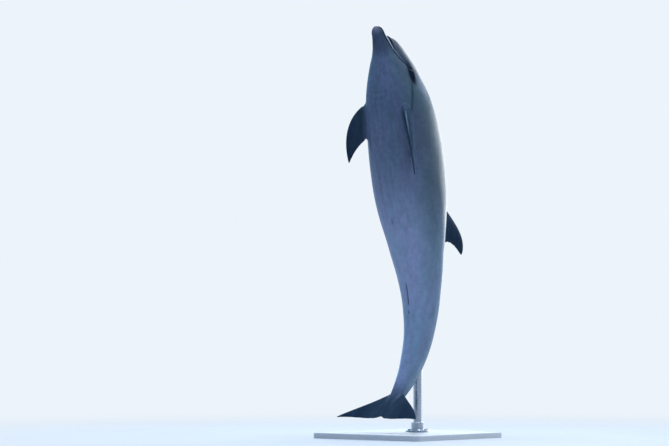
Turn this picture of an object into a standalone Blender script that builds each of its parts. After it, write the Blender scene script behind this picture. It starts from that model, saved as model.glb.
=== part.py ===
# Bottlenose dolphin, life size, rising upright on its tail, on a plain display stand.
#
# World frame: +Z up, origin at the middle of the stand's underside. The sagittal plane
# is X = 0, the animal's left is +X, its back faces +Y and its belly faces -Y.
#
# The animal is laid out along a straight axis and then bent. A body point is (s, u, v):
#   s  distance from the beak tip towards the flukes
#   u  distance to the animal's left
#   v  height above the axis, towards the back
# All sizes are metres.

import math

import bmesh
import bpy
import numpy as np

GAP = 0.0003                # clearance between pieces that touch

# Length and pose
BODY_LENGTH = 2.65          # beak tip to fluke notch
BEAK_HEIGHT = 2.587         # height of the beak tip above the floor
BEAK_Y = -0.31              # puts the centre of mass over the stand
LEAN = 10.3                 # degrees the whole body leans from upright
NOD = 14.8                  # degrees the head tips towards the belly
NOD_SPAN = (0.16, 0.99)     # the nod fades out between these distances
CURL = 71.5                 # degrees the tail curls towards the belly
CURL_SPAN = (1.44, 2.90)

# Stations: distance from the beak tip, half width, height of the back, depth of the
# belly, fullness of the back half, fullness of the belly half. A fullness of 2 is an
# ellipse, a smaller one is keeled and a larger one is boxy.
STATIONS = {
    "beak tip": (0.000, 0.009, 0.007, 0.009, 2.00, 2.00),
    "beak nose": (0.004, 0.016, 0.012, 0.018, 2.00, 2.00),
    "beak curve": (0.011, 0.025, 0.019, 0.030, 2.10, 2.10),
    "beak front": (0.024, 0.034, 0.026, 0.040, 2.20, 2.20),
    "beak middle": (0.045, 0.038, 0.030, 0.0455, 2.40, 2.20),
    "crease": (0.078, 0.045, 0.040, 0.051, 2.40, 2.20),
    "melon foot": (0.100, 0.053, 0.070, 0.053, 2.00, 2.20),
    "melon front": (0.130, 0.064, 0.105, 0.056, 2.00, 2.10),
    "melon top": (0.180, 0.083, 0.136, 0.071, 2.00, 2.10),
    "forehead": (0.240, 0.111, 0.159, 0.105, 2.00, 2.10),
    "eye": (0.320, 0.142, 0.184, 0.148, 2.00, 2.10),
    "neck": (0.440, 0.179, 0.206, 0.191, 2.00, 2.10),
    "flippers": (0.600, 0.210, 0.218, 0.215, 2.05, 2.10),
    "chest": (0.900, 0.228, 0.233, 0.241, 2.05, 2.10),
    "fin front": (1.150, 0.220, 0.230, 0.228, 2.00, 2.10),
    "fin rear": (1.450, 0.174, 0.189, 0.178, 1.95, 2.00),
    "vent": (1.750, 0.123, 0.140, 0.132, 1.90, 1.95),
    "tail stock": (2.050, 0.085, 0.109, 0.101, 1.80, 1.85),
    "tail keel": (2.250, 0.060, 0.087, 0.083, 1.75, 1.80),
    "stock waist": (2.380, 0.042, 0.064, 0.062, 1.80, 1.80),
    "fluke root": (2.500, 0.029, 0.040, 0.038, 1.90, 1.90),
    "stock end": (2.600, 0.016, 0.018, 0.018, 2.00, 2.00),
}
RING_SIDES = 36             # facets round the body

# Where the body is divided, with the ring spacing of each length
FACE_END = 0.285
LENGTHS = {
    "head": (0.285, 0.390, 0.021),
    "neck": (0.390, 0.460, 0.035),
    "trunk_front": (0.460, 1.000, 0.060),
    "trunk_middle": (1.000, 1.550, 0.060),
    "trunk_rear": (1.550, 1.950, 0.065),
    "tail_stock_front": (1.950, 2.300, 0.055),
    "tail_stock_rear": (2.300, 2.600, 0.045),
}

# Mouth line as (s, v), and the line from the beak's crease back to the mouth
MOUTH_LINE = ((-0.03, 0.004), (0.03, 0.005), (0.10, 0.003), (0.17, 0.004), (0.23, 0.013), (0.30, 0.034))
CREASE_LINE = ((0.060, 0.062), (0.086, 0.044), (0.205, 0.0085))
JAW_LEAD = 0.006            # the lower jaw reaches this far past the upper
JAW_LEAD_FADE = 0.06        # and is level with it from here back

EYE_S = 0.326
EYE_V = 0.042
EYE_RADIUS = 0.017
EYE_SHOWS = 0.004           # how far the ball stands out of the skin

# Fin outlines as Bezier curves, each from root to tip. The fin's tip is where the two
# edges meet. The dorsal fin's points are (s, v). A thickness is that of the root and
# the tip, and how it thins between them: 1 is even, less is thinner from the root on.
DORSAL_LEAD = ((1.050, 0.200), (1.222, 0.235), (1.450, 0.552), (1.571, 0.432))
DORSAL_TRAIL = ((1.490, 0.160), (1.468, 0.292), (1.434, 0.316), (1.571, 0.432))
DORSAL_THICKNESS = (0.056, 0.010, 1.0)

# The flipper's points are (distance behind FLIPPER_S, distance from the body's axis)
FLIPPER_S = 0.57
FLIPPER_LEAD = ((-0.095, 0.091), (-0.133, 0.242), (0.024, 0.400), (0.300, 0.366))
FLIPPER_TRAIL = ((0.092, 0.118), (0.147, 0.199), (0.128, 0.279), (0.300, 0.366))
FLIPPER_HINGE = 0.150       # the flipper turns about a point this far from the axis
# How each flipper is held: side, degrees its root and its blade lie below sideways,
# degrees it is swept back, how far its shoulder is drawn back, and how far the blade is held off
FLIPPER_POSES = {
    "left": (1, 34.0, 52.0, 22.0, 0.030, 0.050),
    "right": (-1, 40.0, 40.0, 0.0, 0.000, 0.000),
}
FLIPPER_THICKNESS = (0.044, 0.007, 0.6)

# The fluke's points are (s, u)
FLUKE_LEAD = ((2.360, GAP / 2), (2.460, 0.030), (2.540, 0.220), (2.700, 0.325))
FLUKE_TRAIL = ((2.650, GAP / 2), (2.700, 0.050), (2.655, 0.200), (2.700, 0.325))
FLUKE_THICKNESS = (0.040, 0.008, 1.0)
FLUKE_DROOP = 0.020         # the fluke tips bend this far towards the belly

FIN_EDGE = 0.002            # thickness of the thin rear edges
FIN_MAX_SHARE = 0.3         # a section is no thicker than this share of its chord
FIN_TIP_STOP = 0.985        # the blade is closed this far along its outline
FIN_RINGS = 12
FIN_SIDE_POINTS = 9
ROOT_FLARE = 0.020          # extra thickness where a fin grows out of the body
ROOT_FLARE_FADE = 0.10      # as a share of the fin's length

# Stand
BASE_SIDE = 0.86
BASE_THICKNESS = 0.035
BASE_ROUND = 0.008
ROD_RADIUS = 0.028
ROD_Y = 0.100
ROD_TOP = 0.520
FLANGE_RADIUS = 0.078
FLANGE_THICKNESS = 0.012
COLLAR_RADIUS = 0.042
COLLAR_HEIGHT = 0.050
BOLT_COUNT = 6
BOLT_CIRCLE = 0.060
BOLT_RADIUS = 0.009
BOLT_HEIGHT = 0.008
ROUND_SIDES = 30            # facets of the rod and its flange

SKIN_BLUE = (0.100, 0.150, 0.215)
BELLY_BLUE = (0.190, 0.230, 0.320)
FIN_BLUE = (0.030, 0.050, 0.085)
EYE_BROWN = (0.012, 0.009, 0.008)
BASE_GREY = (0.045, 0.050, 0.058)
STEEL = (0.500, 0.510, 0.530)


# ---------------------------------------------------------------- shape of the body

def smooth_track(knots, values, where):
    """Cubic curve through the knots, read at `where`."""
    knots = np.asarray(knots, float)
    values = np.asarray(values, float)
    where = np.clip(where, knots[0], knots[-1])
    slopes = np.gradient(values, knots)
    left = np.clip(np.searchsorted(knots, where) - 1, 0, len(knots) - 2)
    width = knots[left + 1] - knots[left]
    t = (where - knots[left]) / width
    start = (2 * t**3 - 3 * t**2 + 1) * values[left]
    start_slope = (t**3 - 2 * t**2 + t) * width * slopes[left]
    end = (3 * t**2 - 2 * t**3) * values[left + 1]
    end_slope = (t**3 - t**2) * width * slopes[left + 1]
    return start + start_slope + end + end_slope


def ramp(s, span):
    """0 before the span, 1 after it, with a smooth step between."""
    t = np.clip((s - span[0]) / (span[1] - span[0]), 0, 1)
    return t * t * (3 - 2 * t)


def pitch(s):
    """Angle of the axis from upright, positive where it runs towards the belly."""
    degrees = CURL * ramp(s, CURL_SPAN) - LEAN - NOD * (1 - ramp(s, NOD_SPAN))
    return np.radians(degrees)


def bent_axis():
    """Distances along the axis with the y and z of each, from the beak tip."""
    s = np.linspace(-0.05, BODY_LENGTH + 0.15, 600)
    step = np.diff(s)
    run_y = -np.sin(pitch(s))
    run_z = -np.cos(pitch(s))
    y = np.concatenate([[0], np.cumsum((run_y[1:] + run_y[:-1]) / 2 * step)])
    z = np.concatenate([[0], np.cumsum((run_z[1:] + run_z[:-1]) / 2 * step)])
    return s, y - np.interp(0, s, y), z - np.interp(0, s, z)


AXIS_S, AXIS_Y, AXIS_Z = bent_axis()


def bend(points):
    """Body points (s, u, v) to x, y, z from the beak tip."""
    s, u, v = np.moveaxis(np.asarray(points, float), -1, 0)
    angle = pitch(s)
    y = np.interp(s, AXIS_S, AXIS_Y) + v * np.cos(angle)
    z = np.interp(s, AXIS_S, AXIS_Z) - v * np.sin(angle)
    return np.stack([u, y, z], -1)


def mouth_height(s):
    """Height of the mouth line at s."""
    line = np.array(MOUTH_LINE)
    return smooth_track(line[:, 0], line[:, 1], s)


def body_size(s):
    """Half width, back, belly and the two fullnesses at s."""
    table = np.array(list(STATIONS.values()))
    return [smooth_track(table[:, 0], table[:, column], s) for column in range(1, 6)]


def body_ring(s, grow=0.0):
    """One section of the body as (s, u, v) points, grown outwards by `grow`."""
    half_width, back, belly, back_full, belly_full = body_size(s)
    angle = np.linspace(0, 2 * math.pi, RING_SIDES, endpoint=False)
    across = np.cos(angle)
    up = np.sin(angle)
    on_back = up > 0
    power = 2 / np.where(on_back, back_full, belly_full)
    height = np.where(on_back, back, belly) + grow
    u = (half_width + grow) * np.sign(across) * np.abs(across) ** power
    v = height * np.sign(up) * np.abs(up) ** power
    lead = JAW_LEAD * max(0.0, 1 - s / JAW_LEAD_FADE)
    below_mouth = np.clip((mouth_height(s) - v) / 0.010, 0, 1)
    return np.stack([s - lead * below_mouth, u, v], -1)


def ring_places(start, end, spacing):
    """Even distances from start to end, about `spacing` apart."""
    return np.linspace(start, end, max(2, round((end - start) / spacing) + 1))


def length_places(name):
    """Ring places of one length of the body, half a gap short of each neighbour."""
    start, end, spacing = LENGTHS[name]
    is_last = name == "tail_stock_rear"
    return ring_places(start + GAP / 2, end if is_last else end - GAP / 2, spacing)


# ------------------------------------------------------------------- making objects

def clear_scene():
    for item in list(bpy.data.objects):
        bpy.data.objects.remove(item, do_unlink=True)


def make_material(name, colour, roughness, metallic):
    material = bpy.data.materials.new(name)
    material.use_nodes = True
    shader = material.node_tree.nodes["Principled BSDF"]
    shader.inputs["Base Color"].default_value = (*colour, 1)
    shader.inputs["Roughness"].default_value = roughness
    shader.inputs["Metallic"].default_value = metallic
    material.diffuse_color = (*colour, 1)
    return material


def make_object(name, bm, parent, look=None):
    """Object from a bmesh, faces out, with its own material (name, colour...)."""
    bmesh.ops.recalc_face_normals(bm, faces=bm.faces)
    mesh = bpy.data.meshes.new(name)
    bm.to_mesh(mesh)
    bm.free()
    thing = bpy.data.objects.new(name, mesh)
    bpy.context.scene.collection.objects.link(thing)
    thing.parent = parent
    if look:
        mesh.materials.append(make_material(name, *look))
        mesh.shade_smooth()
        mesh.set_sharp_from_angle(angle=math.radians(40))
    else:
        thing.hide_render = True
        thing.display_type = "WIRE"
    return thing


def skin_rings(rings):
    """Closed bmesh through rows of points, flat at both ends."""
    bm = bmesh.new()
    rows = [[bm.verts.new(point) for point in ring] for ring in rings]
    for first, second in zip(rows, rows[1:]):
        for index in range(len(first)):
            after = (index + 1) % len(first)
            bm.faces.new((first[index], first[after], second[after], second[index]))
    bm.faces.new(rows[0])
    bm.faces.new(rows[-1])
    return bm


def boolean(thing, other, operation):
    modifier = thing.modifiers.new(other.name, "BOOLEAN")
    modifier.operation = operation
    modifier.solver = "EXACT"
    modifier.object = other
    return thing


def body_length(name, places, parent, look=None, grow=0.0):
    """A length of the body with a ring at each place."""
    rings = [bend(body_ring(s, grow)) for s in places]
    return make_object(name, skin_rings(rings), parent, look)


def profile_block(name, outline, half_width, parent):
    """Cutter: an (s, v) outline carried across the body, bent with it."""
    outline = np.array(outline)
    sides = []
    for u in (-half_width, half_width):
        points = np.stack([outline[:, 0], np.full(len(outline), u), outline[:, 1]], -1)
        sides.append(bend(points))
    return make_object(name, skin_rings(sides), parent)


# ------------------------------------------------------------------------ the fins

def bezier(points, t):
    a, b, c, d = np.array(points)
    return a * (1 - t)**3 + 3 * b * t * (1 - t)**2 + 3 * c * t**2 * (1 - t) + d * t**3


def foil(share):
    """Thickness along a fin's chord, 0 at both edges and 1 at the thickest."""
    return np.sqrt(share) * (1 - share) / (math.sqrt(1 / 3) * 2 / 3)


def fin_sections(lead, trail, thickness):
    """Sections from root to tip: chord points (a, b) with a thickness to each side."""
    swing = np.linspace(0, math.pi, FIN_SIDE_POINTS)
    share = (1 - np.cos(swing)) / 2
    reach = np.sin(np.linspace(0, math.pi / 2, FIN_RINGS)) * FIN_TIP_STOP
    for t in reach:
        front = bezier(lead, t)
        rear = bezier(trail, t)
        flare = ROOT_FLARE * math.exp(-t / ROOT_FLARE_FADE)
        full = thickness[0] + (thickness[1] - thickness[0]) * t ** thickness[2] + flare
        chord = np.linalg.norm(rear - front)
        full = min(full, FIN_EDGE + FIN_MAX_SHARE * chord)
        half = (FIN_EDGE + (full - FIN_EDGE) * foil(share)) / 2
        line = front + (rear - front) * share[:, None]
        yield line, half


def fin(name, lead, trail, thickness, place, parent, look):
    """Fin from its outline. `place` turns chord points and offsets into (s, u, v)."""
    rings = []
    for line, half in fin_sections(lead, trail, thickness):
        one_side = place(line, half)
        other_side = place(line, -half)
        rings.append(bend(np.concatenate([one_side, other_side[::-1]])))
    return make_object(name, skin_rings(rings), parent, look)


def dorsal_place(line, offset):
    return np.stack([line[:, 0], offset, line[:, 1]], -1)


def flipper_place(pose):
    """Flipper plane of one side: swept back, then out and down from the shoulder."""
    side = pose[0]
    root_drop, blade_drop, sweep = np.radians(pose[1:4])
    shoulder, lift = pose[4:6]

    def place(line, offset):
        behind = line[:, 0]
        out = line[:, 1] - FLIPPER_HINGE
        s = FLIPPER_S + shoulder + behind * math.cos(sweep) + out * math.sin(sweep)
        reach = lift + out * math.cos(sweep) - behind * math.sin(sweep)
        u = FLIPPER_HINGE * math.cos(root_drop) + reach * math.cos(blade_drop)
        v = -FLIPPER_HINGE * math.sin(root_drop) - reach * math.sin(blade_drop)
        u = u + offset * math.sin(blade_drop)
        v = v + offset * math.cos(blade_drop)
        return np.stack([s, side * u, v], -1)
    return place


def fluke_place(side):
    """Fluke plane of one side, drooping towards its tip."""
    span = FLUKE_LEAD[-1][1]

    def place(line, offset):
        u = line[:, 1]
        v = offset - FLUKE_DROOP * (u / span)**2
        return np.stack([line[:, 0], side * u, v], -1)
    return place


# ------------------------------------------------------------------------ the animal

def surface_point(s, v, side):
    """Point of the body's side at height v, with the direction straight out of it."""
    half_width, back, belly, back_full, belly_full = body_size(s)
    height = back if v > 0 else belly
    full = back_full if v > 0 else belly_full
    u = half_width * (1 - (abs(v) / height)**full)**(1 / full)
    slope_u = (u / half_width)**(full - 1) / half_width
    slope_v = math.copysign((abs(v) / height)**(full - 1) / height, v)
    slope = np.array([0.0, slope_u, slope_v])
    slope /= np.linalg.norm(slope)
    mirror = np.array([1, side, 1])
    return np.array([s, u, v]) * mirror, slope * mirror


def make_face(parent):
    """Upper jaw, lower jaw and melon, parted along the mouth and the crease."""
    far = 0.30              # the cutting blocks reach this far from the axis
    blunt = 0.004           # the thin rear end of the upper jaw is cut off square
    half_gap = GAP / 2
    ahead = MOUTH_LINE[0][0]
    behind = MOUTH_LINE[-1][0]
    crease = list(CREASE_LINE[:2])
    corner_s = CREASE_LINE[-1][0]
    jaw_end_s = corner_s - blunt
    mouth_places = sorted([*np.linspace(ahead, behind, 12), jaw_end_s, corner_s])
    mouth = [(s, mouth_height(s)) for s in mouth_places]
    upper_edge = [point for point in mouth if point[0] <= jaw_end_s]
    melon_edge = [point for point in mouth if point[0] > corner_s]

    def lifted(points, height):
        return [(s, v + height) for s, v in points]

    jaw_end = upper_edge[-1:]
    corner = [(corner_s, mouth_height(corner_s))]
    regions = {
        "lower_jaw": lifted(mouth, -half_gap) + [(behind, -far), (ahead, -far)],
        "upper_jaw": lifted(upper_edge, half_gap) + lifted(jaw_end, 3 * half_gap)
        + lifted(crease[::-1], -half_gap) + [(ahead, crease[0][1])],
        "melon": lifted(crease, half_gap) + lifted(corner, 3 * half_gap)
        + lifted(melon_edge, half_gap) + [(behind, far), (crease[0][0], far)],
    }
    places = np.concatenate([
        [0.0, 0.004, 0.011],
        ring_places(0.022, 0.078, 0.014),
        ring_places(0.090, 0.135, 0.015),
        ring_places(0.158, FACE_END - half_gap, 0.025),
    ])
    colours = {"lower_jaw": BELLY_BLUE, "upper_jaw": SKIN_BLUE, "melon": SKIN_BLUE}
    for name, outline in regions.items():
        piece = body_length(name, places, parent, (colours[name], 0.4, 0.0))
        boolean(piece, profile_block(name + "_region", outline, far, parent), "INTERSECT")


def make_eye(name, side, head, parent):
    """Eyeball in an open socket of the head."""
    point, outward = surface_point(EYE_S, EYE_V, side)
    centre = bend(point + outward * (EYE_SHOWS - EYE_RADIUS))
    for radius, look in ((EYE_RADIUS + GAP, None), (EYE_RADIUS, (EYE_BROWN, 0.08, 0.0))):
        bm = bmesh.new()
        bmesh.ops.create_uvsphere(bm, u_segments=14, v_segments=8, radius=radius)
        ball = make_object(name if look else name + "_socket", bm, parent, look)
        ball.location = centre
        if not look:
            boolean(head, ball, "DIFFERENCE")


def make_fins(parent):
    """Dorsal fin, flippers and flukes, each fitted to the body it grows from."""
    places = np.concatenate([length_places(name) for name in LENGTHS])
    places[-1] += GAP
    body = body_length("body_envelope", places, parent, grow=GAP)
    look = (FIN_BLUE, 0.4, 0.0)
    fins = [fin("dorsal_fin", DORSAL_LEAD, DORSAL_TRAIL, DORSAL_THICKNESS, dorsal_place, parent, look)]
    for word, pose in FLIPPER_POSES.items():
        side = pose[0]
        fins.append(fin("flipper_" + word, FLIPPER_LEAD, FLIPPER_TRAIL, FLIPPER_THICKNESS,
                        flipper_place(pose), parent, look))
        fins.append(fin("fluke_" + word, FLUKE_LEAD, FLUKE_TRAIL, FLUKE_THICKNESS,
                        fluke_place(side), parent, look))
    for blade in fins:
        boolean(blade, body, "DIFFERENCE")


def make_animal(parent):
    make_face(parent)
    lengths = {}
    for name in LENGTHS:
        lengths[name] = body_length(name, length_places(name), parent, (SKIN_BLUE, 0.4, 0.0))
    make_eye("eye_left", 1, lengths["head"], parent)
    make_eye("eye_right", -1, lengths["head"], parent)
    make_fins(parent)
    return lengths


# ------------------------------------------------------------------------- the stand

def add_cylinder(name, radius, bottom, top, parent, look=None, sides=ROUND_SIDES, at=(0, 0)):
    bm = bmesh.new()
    bmesh.ops.create_cone(bm, cap_ends=True, segments=sides, radius1=radius, radius2=radius,
                          depth=top - bottom)
    thing = make_object(name, bm, parent, look)
    thing.location = (at[0], at[1], (bottom + top) / 2)
    return thing


def make_base(parent):
    bm = bmesh.new()
    bmesh.ops.create_cube(bm, size=1)
    bmesh.ops.scale(bm, vec=(BASE_SIDE, BASE_SIDE, BASE_THICKNESS), verts=bm.verts)
    underside = [edge for edge in bm.edges if all(vert.co.z < 0 for vert in edge.verts)]
    shown = [edge for edge in bm.edges if edge not in underside]
    bmesh.ops.bevel(bm, geom=shown, offset=BASE_ROUND, segments=3, profile=0.5, affect="EDGES")
    base = make_object("stand_base", bm, parent, (BASE_GREY, 0.5, 0.0))
    base.location.z = BASE_THICKNESS / 2


def make_flange(parent):
    """Foot plate and collar, turned in one piece round the rod."""
    bore = ROD_RADIUS + GAP
    foot = BASE_THICKNESS + GAP
    shoulder = foot + FLANGE_THICKNESS
    lip = foot + COLLAR_HEIGHT
    ease = 0.002
    profile = [(bore, foot), (FLANGE_RADIUS, foot), (FLANGE_RADIUS, shoulder - ease),
               (FLANGE_RADIUS - ease, shoulder), (COLLAR_RADIUS, shoulder),
               (COLLAR_RADIUS, lip - ease), (COLLAR_RADIUS - ease, lip), (bore, lip)]
    bm = bmesh.new()
    rows = []
    for angle in np.linspace(0, 2 * math.pi, ROUND_SIDES, endpoint=False):
        rows.append([bm.verts.new((r * math.cos(angle), r * math.sin(angle), z)) for r, z in profile])
    for first, second in zip(rows, rows[1:] + rows[:1]):
        for index in range(len(profile)):
            after = (index + 1) % len(profile)
            bm.faces.new((first[index], first[after], second[after], second[index]))
    flange = make_object("stand_flange", bm, parent, (STEEL, 0.3, 1.0))
    flange.location.y = ROD_Y
    for index in range(BOLT_COUNT):
        angle = 2 * math.pi * (index + 0.5) / BOLT_COUNT
        at = (BOLT_CIRCLE * math.cos(angle), ROD_Y + BOLT_CIRCLE * math.sin(angle))
        seat = shoulder + GAP
        add_cylinder(f"stand_bolt_{index + 1}", BOLT_RADIUS, seat, seat + BOLT_HEIGHT, parent,
                     (STEEL, 0.35, 1.0), sides=6, at=at)


def make_stand(parent, tail_stock):
    make_base(parent)
    make_flange(parent)
    at = (0, ROD_Y)
    add_cylinder("stand_rod", ROD_RADIUS, BASE_THICKNESS + GAP, ROD_TOP, parent, (STEEL, 0.3, 1.0), at=at)
    socket = add_cylinder("rod_socket", ROD_RADIUS + GAP, BASE_THICKNESS, ROD_TOP + GAP, parent, at=at)
    boolean(tail_stock, socket, "DIFFERENCE")


def main():
    clear_scene()
    animal = bpy.data.objects.new("dolphin", None)
    animal.location = (0, BEAK_Y, BEAK_HEIGHT)
    stand = bpy.data.objects.new("stand", None)
    for empty in (animal, stand):
        bpy.context.scene.collection.objects.link(empty)
    lengths = make_animal(animal)
    make_stand(stand, lengths["tail_stock_front"])


main()
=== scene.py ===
import math
import bmesh
import bpy
import numpy as np
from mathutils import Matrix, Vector, kdtree


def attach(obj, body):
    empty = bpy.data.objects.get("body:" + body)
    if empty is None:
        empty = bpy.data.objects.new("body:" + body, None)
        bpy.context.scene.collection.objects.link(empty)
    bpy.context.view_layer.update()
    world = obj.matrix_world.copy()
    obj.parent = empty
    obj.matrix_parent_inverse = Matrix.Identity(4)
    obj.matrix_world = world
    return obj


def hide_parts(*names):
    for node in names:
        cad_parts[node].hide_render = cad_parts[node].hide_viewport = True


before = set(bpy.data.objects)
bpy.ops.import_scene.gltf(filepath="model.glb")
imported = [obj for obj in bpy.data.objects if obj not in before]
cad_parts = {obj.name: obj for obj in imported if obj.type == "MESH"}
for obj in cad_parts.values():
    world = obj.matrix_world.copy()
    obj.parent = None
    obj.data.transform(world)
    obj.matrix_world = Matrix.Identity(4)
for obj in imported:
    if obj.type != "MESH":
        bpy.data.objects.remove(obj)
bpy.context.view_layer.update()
print("frame loaded:", len(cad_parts), "nodes")

# The animal's shape, laid out straight and then bent.
# A point is (along, side, high): metres from the beak tip, to its left, and towards its back.
body = {
    "length": 2.65, "beakTip": (0.0, -0.31, 2.587), "lean": 10.3, "nod": 14.8,
    "nodSpan": (0.16, 0.99), "curl": 71.5, "curlSpan": (1.44, 2.90),
    # along, half width, back, belly, fullness of the back, fullness of the belly
    "stations": [
        (0.045, 0.038, 0.030, 0.0455, 2.40, 2.20),
        (0.078, 0.045, 0.040, 0.051, 2.40, 2.20),
        (0.100, 0.053, 0.070, 0.053, 2.00, 2.20),
        (0.130, 0.064, 0.105, 0.056, 2.00, 2.10),
        (0.180, 0.083, 0.136, 0.071, 2.00, 2.10),
        (0.240, 0.111, 0.159, 0.105, 2.00, 2.10),
        (0.320, 0.142, 0.184, 0.148, 2.00, 2.10),
        (0.440, 0.179, 0.206, 0.191, 2.00, 2.10),
        (0.600, 0.210, 0.218, 0.215, 2.05, 2.10),
        (0.900, 0.228, 0.233, 0.241, 2.05, 2.10),
        (1.150, 0.220, 0.230, 0.228, 2.00, 2.10),
        (1.450, 0.174, 0.189, 0.178, 1.95, 2.00),
        (1.750, 0.123, 0.140, 0.132, 1.90, 1.95),
        (2.050, 0.085, 0.109, 0.101, 1.80, 1.85),
        (2.250, 0.060, 0.087, 0.083, 1.75, 1.80),
        (2.380, 0.042, 0.064, 0.062, 1.80, 1.80),
        (2.500, 0.029, 0.040, 0.038, 1.90, 1.90),
        (2.600, 0.016, 0.018, 0.018, 2.00, 2.00),
    ],
    "noseRound": 0.045, "tailRound": 0.030,
    "mouthLine": [(-0.03, 0.004), (0.03, 0.005), (0.10, 0.003), (0.17, 0.004), (0.23, 0.013), (0.30, 0.034)],
    "mouthFade": (0.33, 0.62), "jawLead": 0.006, "jawLeadFade": 0.06, "jawSoft": 0.010,
    "axisEnds": (-0.05, 0.15), "axisSteps": 600, "unbendTurns": 12, "sides": 84,
}


def smoothTrack(knots, values, where):
    where = np.clip(where, knots[0], knots[-1])
    slopes = np.gradient(values, knots)
    left = np.clip(np.searchsorted(knots, where) - 1, 0, len(knots) - 2)
    width = knots[left + 1] - knots[left]
    t = (where - knots[left]) / width
    start = (2 * t**3 - 3 * t**2 + 1) * values[left] + (t**3 - 2 * t**2 + t) * width * slopes[left]
    end = (3 * t**2 - 2 * t**3) * values[left + 1] + (t**3 - t**2) * width * slopes[left + 1]
    return start + end


def ramp(x, low, high):
    t = np.clip((x - low) / (np.asarray(high) - low), 0, 1)
    return t * t * (3 - 2 * t)


def between(x, start, full, fading, end):
    return ramp(x, start, full) * (1 - ramp(x, fading, end))


def within(x, low, high):
    return (x > low) & (x < high)


def hump(distance, width):
    return np.exp(-(distance / width)**2)


def pitch(along):
    degrees = body["curl"] * ramp(along, *body["curlSpan"]) - body["lean"]
    degrees = degrees - body["nod"] * (1 - ramp(along, *body["nodSpan"]))
    return np.radians(degrees)


axisAlong = np.linspace(body["axisEnds"][0], body["length"] + body["axisEnds"][1], body["axisSteps"])
stepAlong = np.diff(axisAlong)
runY = -np.sin(pitch(axisAlong))
runZ = -np.cos(pitch(axisAlong))
axisY = np.concatenate([[0], np.cumsum((runY[1:] + runY[:-1]) / 2 * stepAlong)])
axisZ = np.concatenate([[0], np.cumsum((runZ[1:] + runZ[:-1]) / 2 * stepAlong)])
axisY += body["beakTip"][1] - np.interp(0, axisAlong, axisY)
axisZ += body["beakTip"][2] - np.interp(0, axisAlong, axisZ)


def bend(points):
    along, side, high = points.T
    angle = pitch(along)
    y = np.interp(along, axisAlong, axisY) + high * np.cos(angle)
    z = np.interp(along, axisAlong, axisZ) - high * np.sin(angle)
    return np.stack([side, y, z], -1)


# back from a bent place to (along, side, high), in small steps
def unbend(places):
    along = np.interp(-places[:, 2], -axisZ, axisAlong)
    for turn in range(body["unbendTurns"]):
        angle = pitch(along)
        gapY = places[:, 1] - np.interp(along, axisAlong, axisY)
        gapZ = places[:, 2] - np.interp(along, axisAlong, axisZ)
        along = along + np.clip(-gapY * np.sin(angle) - gapZ * np.cos(angle), -0.1, 0.1) * 0.8
        along = np.clip(along, axisAlong[0], axisAlong[-1])
    high = gapY * np.cos(angle) - gapZ * np.sin(angle)
    return np.stack([along, places[:, 0], high], -1)


def mouthHeight(along):
    knots, heights = np.array(body["mouthLine"]).T
    return smoothTrack(knots, heights, along)


def bodySize(along):
    table = np.array(body["stations"])
    sizes = [smoothTrack(table[:, 0], table[:, column], along) for column in range(1, 6)]
    nose = np.clip(1 - along / body["noseRound"], 0, 1)
    noseScale = np.sqrt(np.maximum(1 - nose**2, 0))
    tail = np.clip((along - table[-1, 0]) / body["tailRound"], 0, 1)
    tailScale = np.sqrt(np.maximum(1 - tail**2, 0))
    for column in range(3):
        sizes[column] = sizes[column] * np.minimum(noseScale, tailScale)
    return sizes


# turn goes round from the belly (-pi/2) by the left mouth line (0) and the back (pi/2)
# to the right mouth line (pi), so that a row of faces follows the lips
def bodyPoint(along, turn):
    halfWidth, back, belly, backFull, bellyFull = bodySize(along)
    mouthShare = np.clip(mouthHeight(along) / np.maximum(back, 1e-4), 0, 0.6)
    mouthTurn = np.arcsin(mouthShare**(backFull / 2)) * (1 - ramp(along, *body["mouthFade"]))
    quarter = math.pi / 2
    onLeft = turn <= quarter
    t = np.where(onLeft, turn, math.pi - turn)
    upper = mouthTurn + (quarter - mouthTurn) * t / quarter
    lower = -quarter + (quarter + mouthTurn) * (t + quarter) / quarter
    angle = np.where(t >= 0, upper, lower)
    across = np.maximum(np.cos(angle), 0)
    up = np.sin(angle)
    full = np.where(up > 0, backFull, bellyFull)
    height = np.where(up > 0, back, belly)
    side = halfWidth * across**(2 / full) * np.where(onLeft, 1, -1)
    high = height * np.sign(up) * np.abs(up)**(2 / full)
    lead = body["jawLead"] * np.maximum(0, 1 - along / body["jawLeadFade"])
    below = np.clip((mouthHeight(along) - high) / body["jawSoft"], 0, 1)
    return np.stack([along - lead * below, side, high], -1)


def bodyNormal(along, turn):
    alongStep, turnStep = 2e-4, 2e-3
    ahead = np.maximum(along - alongStep, alongStep / 10)
    rise = bodyPoint(along + alongStep, turn) - bodyPoint(ahead, turn)
    sweep = bodyPoint(along, turn + turnStep) - bodyPoint(along, turn - turnStep)
    normal = np.cross(rise, sweep)
    normal /= np.linalg.norm(normal, axis=1)[:, None] + 1e-12
    outward = bodyPoint(along, turn) * np.array([0, 1, 1])
    return normal * np.where((normal * outward).sum(1) < 0, -1, 1)[:, None]


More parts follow.
